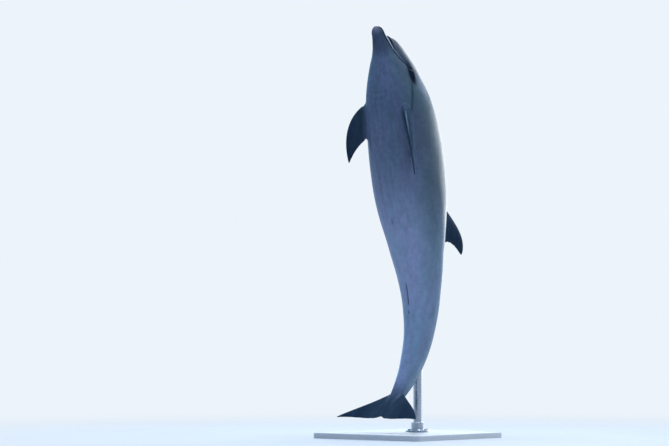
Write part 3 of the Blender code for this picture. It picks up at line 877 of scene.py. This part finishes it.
# The skin's colours, painted light among them: hollow is painted shade in grooves and in the eyes' openings,
# stripe also paints shade along the mouth's line and crease, lip and edge are painted highlights, and belly
# is darkened by painted shade. Around is -1 at the belly, 0 at the side and 1 at the back.
hideAndPaintedLight = {
    "cape": (0.030, 0.046, 0.078), "spine": (0.012, 0.019, 0.034), "flank": (0.088, 0.124, 0.152),
    # the front belly's colour is darker and bluer than a dolphin's pale belly, as painted shade of its side
    # turned from the light
    "belly": (0.118, 0.162, 0.244), "bellyLow": (0.240, 0.284, 0.430), "tail": (0.290, 0.405, 0.570),
    "fins": (0.019, 0.040, 0.070), "finRoots": (0.034, 0.062, 0.094), "edge": (0.220, 0.270, 0.340),
    "beak": (0.040, 0.055, 0.084), "beakTip": (0.130, 0.115, 0.140), "melon": (0.018, 0.031, 0.052),
    "blaze": (0.220, 0.290, 0.340), "stripe": (0.004, 0.008, 0.018), "lip": (0.420, 0.450, 0.500),
    "hollowShade": (0.008, 0.010, 0.014), "scratch": (0.260, 0.290, 0.340),
    "greener": (0.95, 1.02, 0.98), "purpler": (1.07, 0.98, 1.03),
    "wobble": 0.42, "streaks": 0.16,
    # the dark patch of the eye, with painted shade of its socket under the brow: shift along and up, length
    # for its height, slant, then its radii
    "patch": (0.004, -0.0085, 0.42, 0.60), "patchRadii": (0.018, 0.041),
    # stripes: start and end as (along, high), half width, softness, strength
    "stripes": [
        ((0.345, 0.014), (0.545, -0.100), 0.002, 0.017, 0.44),
        ((0.205, 0.036), (eye["along"], eye["high"]), 0.003, 0.014, 0.5),
    ],
    "roughness": (0.33, 0.50), "gloss": 0.20, "wetGloss": 0.64, "melonGloss": 0.74, "finGloss": 0.15,
    "glossRoughness": 0.22,
}


# a dark band between two points of the side of the head
def headStripe(along, high, wobble, start, end, width, soft, strength):
    slope = (end[1] - start[1]) / (end[0] - start[0])
    line = plus(times(along, slope), start[1] - slope * start[0])
    away = plus(maths("ABSOLUTE", maths("SUBTRACT", high, line), 0.0), times(wobble, 0.03))
    band = softStep(away, width, width + soft, 1.0, 0.0)
    ends = softSpan(along, start[0] - 0.02, start[0] + 0.02, end[0] - 0.02, end[0] + 0.03)
    return times(band, ends, strength)


def skinMaterial():
    material, tree, shader = newMaterial("dolphinSkin")
    place = attribute(tree, "bodyPlace", "Vector")
    facts = ("around", "fin", "outer", "hollowShade", "lip", "lineShade", "edge")
    around, fin, outer, hollowShade, lip, lineShade, edgeHighlight = [attribute(tree, name) for name in facts]
    split = addNode(tree, "SeparateXYZ", {0: place}).outputs
    along, high = split["X"], split["Z"]

    # long soft streaks, drawn out from beak to tail
    stretched = addNode(tree, "Mapping", {"Vector": place, "Scale": (0.22, 1, 1)}).outputs[0]
    streak = noise(stretched, 34.0, 6.0, 0.62)
    wobble = times(plus(noise(place, 5.0, 5.0, 0.55), -0.5), hideAndPaintedLight["wobble"])
    edge = plus(around, wobble, times(plus(streak, -0.5), hideAndPaintedLight["streaks"]))

    # the dark cape widens from the melon to the dorsal fin, and a streaky blaze lies behind the head
    cape = maths("SUBTRACT", edge, softStep(along, 0.2, 0.9, 0.20, 0.0))
    blaze = times(softSpan(along, 0.34, 0.43, 0.50, 0.72), softSpan(around, 0.02, 0.20, 0.45, 0.70))

    # dark patch round the eye: its own dark mark deepened by painted shade of the socket under the brow,
    # with a stripe on to the flipper and one to the beak's root
    centre = eyeFrame(1)[0]
    shiftAlong, shiftHigh, stretch, slant = hideAndPaintedLight["patch"]
    ahead = times(plus(along, -float(centre[0]) - shiftAlong), stretch)
    above = plus(high, -float(centre[2]) - shiftHigh, times(ahead, slant))
    gap = vectorLength(addNode(tree, "CombineXYZ", {0: ahead, 1: above}).outputs[0])
    dark = softStep(plus(gap, times(wobble, 0.02)), *hideAndPaintedLight["patchRadii"], 1.0, 0.0)
    for stripe in hideAndPaintedLight["stripes"]:
        dark = maths("MAXIMUM", dark, headStripe(along, high, wobble, *stripe))

    # from the lowest layer to the highest: its colour, and how much of it shows
    # the belly, darkened at the front by painted shade and paler further back
    colour = mixColours(softStep(along, 0.75, 1.35), hideAndPaintedLight["belly"], hideAndPaintedLight["bellyLow"])
    layers = [
        (hideAndPaintedLight["flank"], softStep(edge, -0.62, -0.02)),
        (hideAndPaintedLight["cape"], softStep(cape, 0.22, 0.52)),
        (hideAndPaintedLight["spine"], softStep(edge, 0.50, 0.85, 0.0, 0.7)),
        (hideAndPaintedLight["blaze"], times(blaze, softStep(streak, 0.34, 0.66, 0.16, 0.48))),
        (hideAndPaintedLight["tail"], softStep(along, 0.95, 1.75, 0.0, 0.52)),
        (mixColours(outer, hideAndPaintedLight["finRoots"], hideAndPaintedLight["fins"]), softStep(fin, 0.15, 0.75)),
        # the eye patch, deepened by painted shade of its socket, and the two stripes
        (hideAndPaintedLight["stripe"], times(dark, 0.96)),
        (hideAndPaintedLight["beak"], times(softStep(along, 0.10, 0.20, 0.60, 0.0), softStep(along, 0.01, 0.05))),
        (hideAndPaintedLight["beakTip"], softStep(along, 0.010, 0.040, 0.60, 0.0)),
        (hideAndPaintedLight["melon"], times(softStep(high, 0.012, 0.034), softStep(along, 0.26, 0.36, 0.75, 0.0))),
        # painted shade along the mouth's line and painted shadow under the melon's crease, in the stripes'
        # dark colour
        (hideAndPaintedLight["stripe"], times(lineShade, 0.85)),
        # painted highlight on the flippers' front edges
        (hideAndPaintedLight["edge"], times(edgeHighlight, 0.8)),
        # painted highlight on the upper lip's edge
        (hideAndPaintedLight["lip"], times(lip, 0.85)),
    ]
    for paint, share in layers:
        colour = mixColours(share, colour, paint)

    # mottling, a drift of hue, then thin scratches
    mottle = softStep(noise(place, 34.0, 8.0, 0.55), 0.30, 0.72, 0.93, 1.07)
    mottle = times(mottle, softStep(streak, 0.3, 0.7, 0.90, 1.10))
    colour = mixColours(1.0, colour, mottle, "MULTIPLY")
    hue = mixColours(softStep(noise(stretched, 9.0, 3.0), 0.36, 0.64), hideAndPaintedLight["greener"], hideAndPaintedLight["purpler"])
    colour = mixColours(1.0, colour, hue, "MULTIPLY")
    strokes = []
    for scale, turn in (((3.0, 30.0, 30.0), (0.2, 0.3, 0.1)), ((26.0, 4.0, 26.0), (0.7, 0.2, 0.5))):
        drawn = addNode(tree, "Mapping", {"Vector": place, "Scale": scale, "Rotation": turn}).outputs[0]
        cells = addNode(tree, "TexVoronoi", {"Vector": drawn, "Scale": 1.0, "Randomness": 1.0}).outputs[0]
        strokes.append(softStep(cells, 0.030, 0.075, 1.0, 0.0))
    scratches = times(maths("MAXIMUM", *strokes), softStep(noise(place, 6.0, 2.0), 0.50, 0.62))
    colour = mixColours(times(scratches, 0.30), colour, hideAndPaintedLight["scratch"])
    # painted shade in the grooves and in the eyes' openings
    colour = mixColours(times(hollowShade, 0.92), colour, hideAndPaintedLight["hollowShade"])

    rough = softStep(noise(stretched, 22.0, 6.0, 0.6), 0.3, 0.7, *hideAndPaintedLight["roughness"])
    onMelon = times(softStep(around, 0.16, 0.46), softStep(along, 0.36, 0.48, 1.0, 0.0))
    onMelon = times(onMelon, softStep(along, 0.10, 0.26, 0.0, hideAndPaintedLight["melonGloss"]))
    # wet from behind the head on, and drier on the beak, the fins, the dark marks and the painted shade
    # along the mouth's line and crease
    gloss = times(
        maths("MAXIMUM", softStep(along, 0.48, 0.80, hideAndPaintedLight["gloss"], hideAndPaintedLight["wetGloss"]), onMelon),
        softStep(along, 0.05, 0.14, 0.25, 1.0),
        softStep(fin, 0.05, 0.5, 1.0, hideAndPaintedLight["finGloss"]),
        softStep(maths("MAXIMUM", dark, lineShade), 0.1, 0.9, 1.0, hideAndPaintedLight["finGloss"]),
        softStep(noise(stretched, 75.0, 4.0, 0.6), 0.3, 0.7, 0.78, 1.12),
    )
    height = plus(times(noise(place, 420.0, 3.0, 0.6), 0.35), noise(stretched, 120.0, 4.0, 0.55))
    height = maths("SUBTRACT", height, times(scratches, 0.5))
    feed(shader, {
        "Base Color": colour,
        "Roughness": plus(rough, times(hollowShade, 0.25)),
        "Coat Weight": gloss,
        "Coat Roughness": hideAndPaintedLight["glossRoughness"],
        "Specular IOR Level": 0.0,
        "Normal": bump(height, 0.22, 0.0012),
    })
    return material


skin = makeBody()
growTogether(skin, makeFins())
paintFacts(skin, roundSeams(skin))
skin.data.materials.clear()
skin.data.materials.append(skinMaterial())
skin.data.polygons.foreach_set("material_index", np.zeros(len(skin.data.polygons), int))
pick(skin)
bpy.ops.object.shade_smooth()
print("skin painted")

# The eyes. Colours are the darker and the paler of two that mix in spokes.
eyeball = {
    "iris": (0.0086, 0.0106), "pupil": (0.0052, 0.0036),
    "ballColours": ((0.012, 0.009, 0.009), (0.013, 0.011, 0.011)),
    "irisColours": ((0.016, 0.011, 0.009), (0.020, 0.014, 0.012)),
    "pupilColour": (0.004, 0.004, 0.006), "roughness": 0.12, "coat": 0.22, "coatRoughness": 0.02,
    "shine": 0.08,
    # the clear front stands out a little from the ball
    "bulge": (0.0009, 0.80, 0.98),
}


def eyeMaterial():
    material, tree, shader = newMaterial("wetEye")
    disc = attribute(tree, "disc", "Vector")
    spokes = noise(disc, 900.0, 3.0)
    ball = mixColours(softStep(spokes, 0.35, 0.65), *eyeball["ballColours"])
    iris = mixColours(softStep(spokes, 0.3, 0.7), *eyeball["irisColours"])
    colour = mixColours(softStep(vectorLength(disc), *eyeball["iris"], 1.0, 0.0), ball, iris)
    oval = vectorLength(vectorMath("DIVIDE", disc, (*eyeball["pupil"], 1)))
    feed(shader, {
        "Base Color": mixColours(softStep(oval, 0.9, 1.08, 1.0, 0.0), colour, eyeball["pupilColour"]),
        "Roughness": eyeball["roughness"],
        "Coat Weight": eyeball["coat"],
        "Coat Roughness": eyeball["coatRoughness"],
        "Specular IOR Level": eyeball["shine"],
    })
    return material


def makeEye(name, side, material):
    centre, outward, forward, upward = eyeFrame(side)
    sphere = bpy.ops.mesh.primitive_uv_sphere_add
    ball = addPiece(name, sphere, segments=48, ring_count=32, radius=eye["radius"])
    points = readPoints(ball)
    rise, start, end = eyeball["bulge"]
    points[:, 2] += rise * ramp(points[:, 2] / eye["radius"], start, end)
    writePoints(ball, bend(centre + points @ np.array([forward, upward, outward])))
    keepVectors(ball, "disc", points * np.array([1, 1, 0]))
    setMode("EDIT")
    turnOutward()
    bpy.ops.object.shade_smooth()
    ball.data.materials.append(material)
    return ball


wetEye = eyeMaterial()
leftEye = makeEye("leftEye", 1, wetEye)
rightEye = makeEye("rightEye", -1, wetEye)
print("eyes set")

# The stand.
stand = {
    "side": 0.86, "thick": 0.035, "corner": 0.030, "round": 0.007, "rodAt": (0.0, 0.100),
    "rodRadius": 0.028, "rodTop": 0.520, "flangeRadius": 0.078, "flangeThick": 0.012,
    "flangeRound": 0.0022, "collarRadius": 0.042, "collarHeight": 0.050, "collarSlope": 0.004,
    "collarRound": (0.0025, 0.002), "boltCircle": 0.060, "boltRadius": 0.009, "boltHeight": 0.008,
    "boltHead": 0.90, "boltRound": 0.0009, "washer": 0.0016, "boltCount": 6, "boltTurn": 1.7,
}
deckHeight = stand["thick"]
footHeight = deckHeight + stand["flangeThick"]


# smooths a finished piece, but for its edges sharper than the angle
def settle(piece, angle):
    pick(piece)
    bpy.ops.object.transform_apply(location=True, rotation=True, scale=True)
    bpy.ops.object.shade_smooth_by_angle(angle=math.radians(angle))
    return piece


def addCylinder(name, sides, radius, low, high, at):
    return addPiece(name, bpy.ops.mesh.primitive_cylinder_add, vertices=sides, radius=radius,
                    depth=high - low, location=(*at, (low + high) / 2))


# makes a piece's place and sizes its own, then edits it
def editMode():
    bpy.ops.object.transform_apply(location=True, rotation=True, scale=True)
    setMode("EDIT")


def bevelWhere(piece, kind, test, offset, segments):
    selectWhere(piece, kind, test)
    bpy.ops.mesh.bevel(offset=offset, segments=segments, affect="EDGES")


def makeStandBase():
    base = addPiece("stand_board", bpy.ops.mesh.primitive_cube_add, size=1, location=(0, 0, deckHeight / 2))
    bpy.ops.transform.resize(value=(stand["side"], stand["side"], deckHeight))
    editMode()

    def upright(edge):
        return abs(edge.verts[0].co.z - edge.verts[1].co.z) > 0.01

    def topRim(edge):
        atTop = min(vertex.co.z for vertex in edge.verts) > deckHeight - 1e-4
        return atTop and min(side.normal.z for side in edge.link_faces) < 0.5

    bevelWhere(base, "EDGE", upright, stand["corner"], 8)
    bevelWhere(base, "EDGE", topRim, stand["round"], 6)
    setMode("OBJECT")
    return settle(base, 30)


# a round plate with a collar drawn up from its top
def makeStandFlange():
    x, y = stand["rodAt"]
    radius, slope = stand["flangeRadius"], stand["collarSlope"]
    flange = addCylinder("stand_foot", 96, radius, deckHeight, footHeight, (x, y))
    editMode()
    selectWhere(flange, "FACE", lambda side: side.normal.z > 0.9)
    thickness, depth = stand["collarRound"]
    straight = stand["collarHeight"] - slope - depth
    bpy.ops.mesh.inset(thickness=radius - stand["collarRadius"] - slope)
    bpy.ops.mesh.inset(thickness=slope, depth=slope)
    bpy.ops.mesh.extrude_region_move(TRANSFORM_OT_translate={"value": (0, 0, straight)})
    bpy.ops.mesh.inset(thickness=thickness, depth=depth)

    def topRim(edge):
        places = [vertex.co for vertex in edge.verts]
        far = all(math.hypot(place.x - x, place.y - y) > radius - 1e-4 for place in places)
        return far and all(abs(place.z - footHeight) < 1e-4 for place in places)

    bevelWhere(flange, "EDGE", topRim, stand["flangeRound"], 4)
    setMode("OBJECT")
    return settle(flange, 35)


# a washer with a six-sided head on it, copied round the circle
def makeStandBolts():
    x, y = stand["rodAt"]
    radius = stand["boltRadius"]
    washer = addCylinder("washer", 48, radius, 0, stand["washer"], (0, 0))
    head = addCylinder("head", 6, radius * stand["boltHead"], stand["washer"], stand["boltHeight"], (0, 0))
    setMode("EDIT")
    bevelWhere(head, "FACE", lambda side: side.normal.z > 0.9, stand["boltRound"], 2)
    setMode("OBJECT")
    washer.select_set(True)
    bpy.context.view_layer.objects.active = washer
    bpy.ops.object.join()
    bolts = []
    for index in range(stand["boltCount"]):
        bolt = washer.copy()
        bolt.data = washer.data.copy()
        bpy.context.collection.objects.link(bolt)
        turn = 2 * math.pi * index / stand["boltCount"]
        reach = stand["boltCircle"]
        bolt.location = (x + reach * math.cos(turn), y + reach * math.sin(turn), footHeight)
        bolt.rotation_euler[2] = turn * stand["boltTurn"]
        bolt.name = f"stand_screw_{index + 1}"
        bolts.append(settle(bolt, 25))
    bpy.data.objects.remove(washer)
    return bolts


# faint uneven grain shared by the board and the steel
def grainGroup():
    group = bpy.data.node_groups.new("fineGrain", "ShaderNodeTree")
    for name in ("Scale", "Stretch"):
        group.interface.new_socket(name, in_out="INPUT", socket_type="NodeSocketFloat")
    for name in ("Grain", "Cloud"):
        group.interface.new_socket(name, in_out="OUTPUT", socket_type="NodeSocketFloat")
    start = group.nodes.new("NodeGroupInput")
    end = group.nodes.new("NodeGroupOutput")
    spot = objectPlace(group)
    stretch = addNode(group, "CombineXYZ", {0: 1.0, 1: 1.0, 2: start.outputs["Stretch"]}).outputs[0]
    drawn = vectorMath("MULTIPLY", spot, stretch)
    feed(end, {"Grain": noise(drawn, start.outputs["Scale"], 5.0, 0.6), "Cloud": noise(spot, 5.0, 3.0)})
    return group


# two colours and two roughnesses that mix, grain's scale and upward stretch, metal or not, bump
finish = {
    "boardPaint": (((0.63, 0.64, 0.655), (0.67, 0.68, 0.69)), (0.42, 0.56), 90.0, 1.0, 0.0, 0.0002),
    "brushedSteel": (((0.56, 0.58, 0.61), (0.64, 0.66, 0.68)), (0.24, 0.38), 60.0, 24.0, 1.0, 0.0001),
}


def grainMaterial(name, group):
    colours, roughness, scale, stretch, metallic, bumpDistance = finish[name]
    material, tree, shader = newMaterial(name)
    grain, cloud = addNode(tree, "Group", node_tree=group).outputs
    feed(grain.node, {"Scale": scale, "Stretch": stretch})
    share = softStep(grain, 0.32, 0.68)
    feed(shader, {
        "Base Color": mixColours(share, *colours),
        "Roughness": softStep(plus(times(share, 0.5), times(cloud, 0.5)), 0.2, 0.8, *roughness),
        "Metallic": metallic,
        "Normal": bump(grain, 0.3, bumpDistance),
    })
    return material


fineGrain = grainGroup()
boardPaint = grainMaterial("boardPaint", fineGrain)
brushedSteel = grainMaterial("brushedSteel", fineGrain)
standBoard = makeStandBase()
post = addCylinder("stand_post", 96, stand["rodRadius"], footHeight, stand["rodTop"], stand["rodAt"])
standPost = settle(post, 40)
standFoot = makeStandFlange()
standScrews = makeStandBolts()
standBoard.data.materials.append(boardPaint)
for piece in [standPost, standFoot] + standScrews:
    piece.data.materials.append(brushedSteel)
print("stand made")

# What stands for what.
bodyNodes = ["upper_jaw", "lower_jaw", "melon", "head", "neck", "trunk_front", "trunk_middle", "trunk_rear"]
bodyNodes += ["tail_stock_front", "tail_stock_rear", "dorsal_fin", "flipper_left", "flipper_right"]
bodyNodes += ["fluke_left", "fluke_right"]
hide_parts(*bodyNodes)
standIns = {"eye_left": leftEye, "eye_right": rightEye}
standIns.update({"stand_base": standBoard, "stand_rod": standPost, "stand_flange": standFoot})
standIns.update({f"stand_bolt_{index + 1}": screw for index, screw in enumerate(standScrews)})
for node, piece in standIns.items():
    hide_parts(node)
for piece in [skin, *standIns.values()]:
    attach(piece, "root")

# The studio: light comes from behind on the right, and is dim and blue in front.
studio = {
    "floorRadius": 400.0, "floorNear": ((0.70, 0.70, 0.70), (0.728, 0.728, 0.728)),
    "floorFade": (0.9, 5.0), "floorCast": (0.40, 0.50, 0.68), "floorRim": 4.2,
    "floorRimFade": (8.0, 30.0), "sky": (0.84, 0.90, 0.96), "skyStrength": 1.0,
    "brightSide": (-0.20, 0.97, 0.02), "bright": (0.90, 0.96, 1.0), "brightStrength": 1.75,
    "brightSpan": (0.15, 0.92), "whiteSpan": (0.20, 0.92), "rimStrength": 1.7,
    "rimSpan": (0.72, 0.96), "coolSide": (-0.93, 0.36, 0.0), "cool": (0.30, 0.68, 1.0),
    "coolSpan": (0.82, 0.98), "coolStrength": 0.7, "dim": (0.36, 0.60, 1.0), "dimStrength": 0.40,
    "topSize": 5.0, "topHeight": 6.5, "topPower": 365.0, "topColour": (0.78, 0.89, 1.0),
}


# 1 towards one of the studio's sides, 0 across it
def facing(toward, side):
    return vectorMath("DOT_PRODUCT", toward, Vector(studio[side]).normalized(), 1)


def cameraRay(tree):
    return addNode(tree, "LightPath").outputs["Is Camera Ray"]


def makeFloor():
    circle = bpy.ops.mesh.primitive_circle_add
    floor = addPiece("studioFloor", circle, vertices=128, radius=studio["floorRadius"], fill_type="NGON")
    material, tree, shader = newMaterial("paleFloor")
    spot = objectPlace(tree)
    near = mixColours(softStep(noise(spot, 0.9), 0.3, 0.7), *studio["floorNear"])
    feed(shader, {"Base Color": near, "Roughness": 0.8, "Specular IOR Level": 0.1})
    # far off it looks like the sky, but casts only a dim blue light, except on the bright side
    reach = vectorLength(spot)
    seen = cameraRay(tree)
    rimShare = softStep(facing(vectorMath("NORMALIZE", spot), "brightSide"), *studio["rimSpan"])
    rimShare = times(rimShare, softStep(reach, *studio["floorRimFade"]))
    cast = mixColours(rimShare, studio["floorCast"], studio["bright"])
    strength = softStep(rimShare, 0.0, 1.0, studio["skyStrength"], studio["floorRim"])
    glow = addNode(tree, "Emission", {
        "Color": mixColours(seen, cast, studio["sky"]),
        "Strength": addNode(tree, "Mix", {0: seen, 2: strength, 3: studio["skyStrength"]}).outputs[0],
    })
    far = softStep(reach, *studio["floorFade"])
    blend = addNode(tree, "MixShader", {0: far, 1: shader.outputs[0], 2: glow.outputs[0]})
    feed(tree.nodes["Material Output"], {"Surface": blend.outputs[0]})
    floor.data.materials.append(material)


def makeSky():
    world = bpy.data.worlds.new("studioSky")
    world.use_nodes = True
    tree = world.node_tree
    tree.nodes.clear()
    toward = addNode(tree, "TexCoord").outputs["Generated"]
    bright = facing(toward, "brightSide")
    cool = softStep(facing(toward, "coolSide"), *studio["coolSpan"])
    colour = mixColours(softStep(bright, *studio["whiteSpan"]), studio["dim"], studio["bright"])
    share = softStep(bright, *studio["brightSpan"])
    strength = plus(
        softStep(share, 0.0, 1.0, studio["dimStrength"], studio["brightStrength"]),
        softStep(bright, *studio["rimSpan"], 0.0, studio["rimStrength"]),
        times(cool, studio["coolStrength"]),
    )
    cast = {"Color": mixColours(cool, colour, studio["cool"]), "Strength": strength}
    seen = {"Color": studio["sky"], "Strength": studio["skyStrength"]}
    lights = [addNode(tree, "Background", inputs).outputs[0] for inputs in (cast, seen)]
    mix = addNode(tree, "MixShader", {0: cameraRay(tree), 1: lights[0], 2: lights[1]})
    addNode(tree, "OutputWorld", {0: mix.outputs[0]})
    bpy.context.scene.world = world


def makeTopLight():
    place = (0, 0, studio["topHeight"])
    top = addPiece("topPanel", bpy.ops.object.light_add, type="AREA", location=place)
    top.data.shape = "DISK"
    top.data.size = studio["topSize"]
    top.data.energy = studio["topPower"]
    top.data.color = studio["topColour"]
    top.visible_camera = False


camera = {"azimuth": 40.0, "distance": 35.0, "height": 1.356, "aside": -0.4625, "lens": 298.5, "clip": 2000}


def makeCamera():
    turn = math.radians(camera["azimuth"])
    look = Vector((-math.sin(turn), math.cos(turn), 0))
    right = Vector((math.cos(turn), math.sin(turn), 0))
    place = right * camera["aside"] - look * camera["distance"]
    place.z = camera["height"]
    turned = (math.pi / 2, 0, turn)
    view = addPiece("studioCamera", bpy.ops.object.camera_add, location=place, rotation=turned)
    view.data.lens = camera["lens"]
    view.data.clip_end = camera["clip"]
    bpy.context.scene.camera = view


makeFloor()
makeSky()
makeTopLight()
makeCamera()
bpy.context.scene.view_settings.view_transform = "Standard"
print("studio lit")
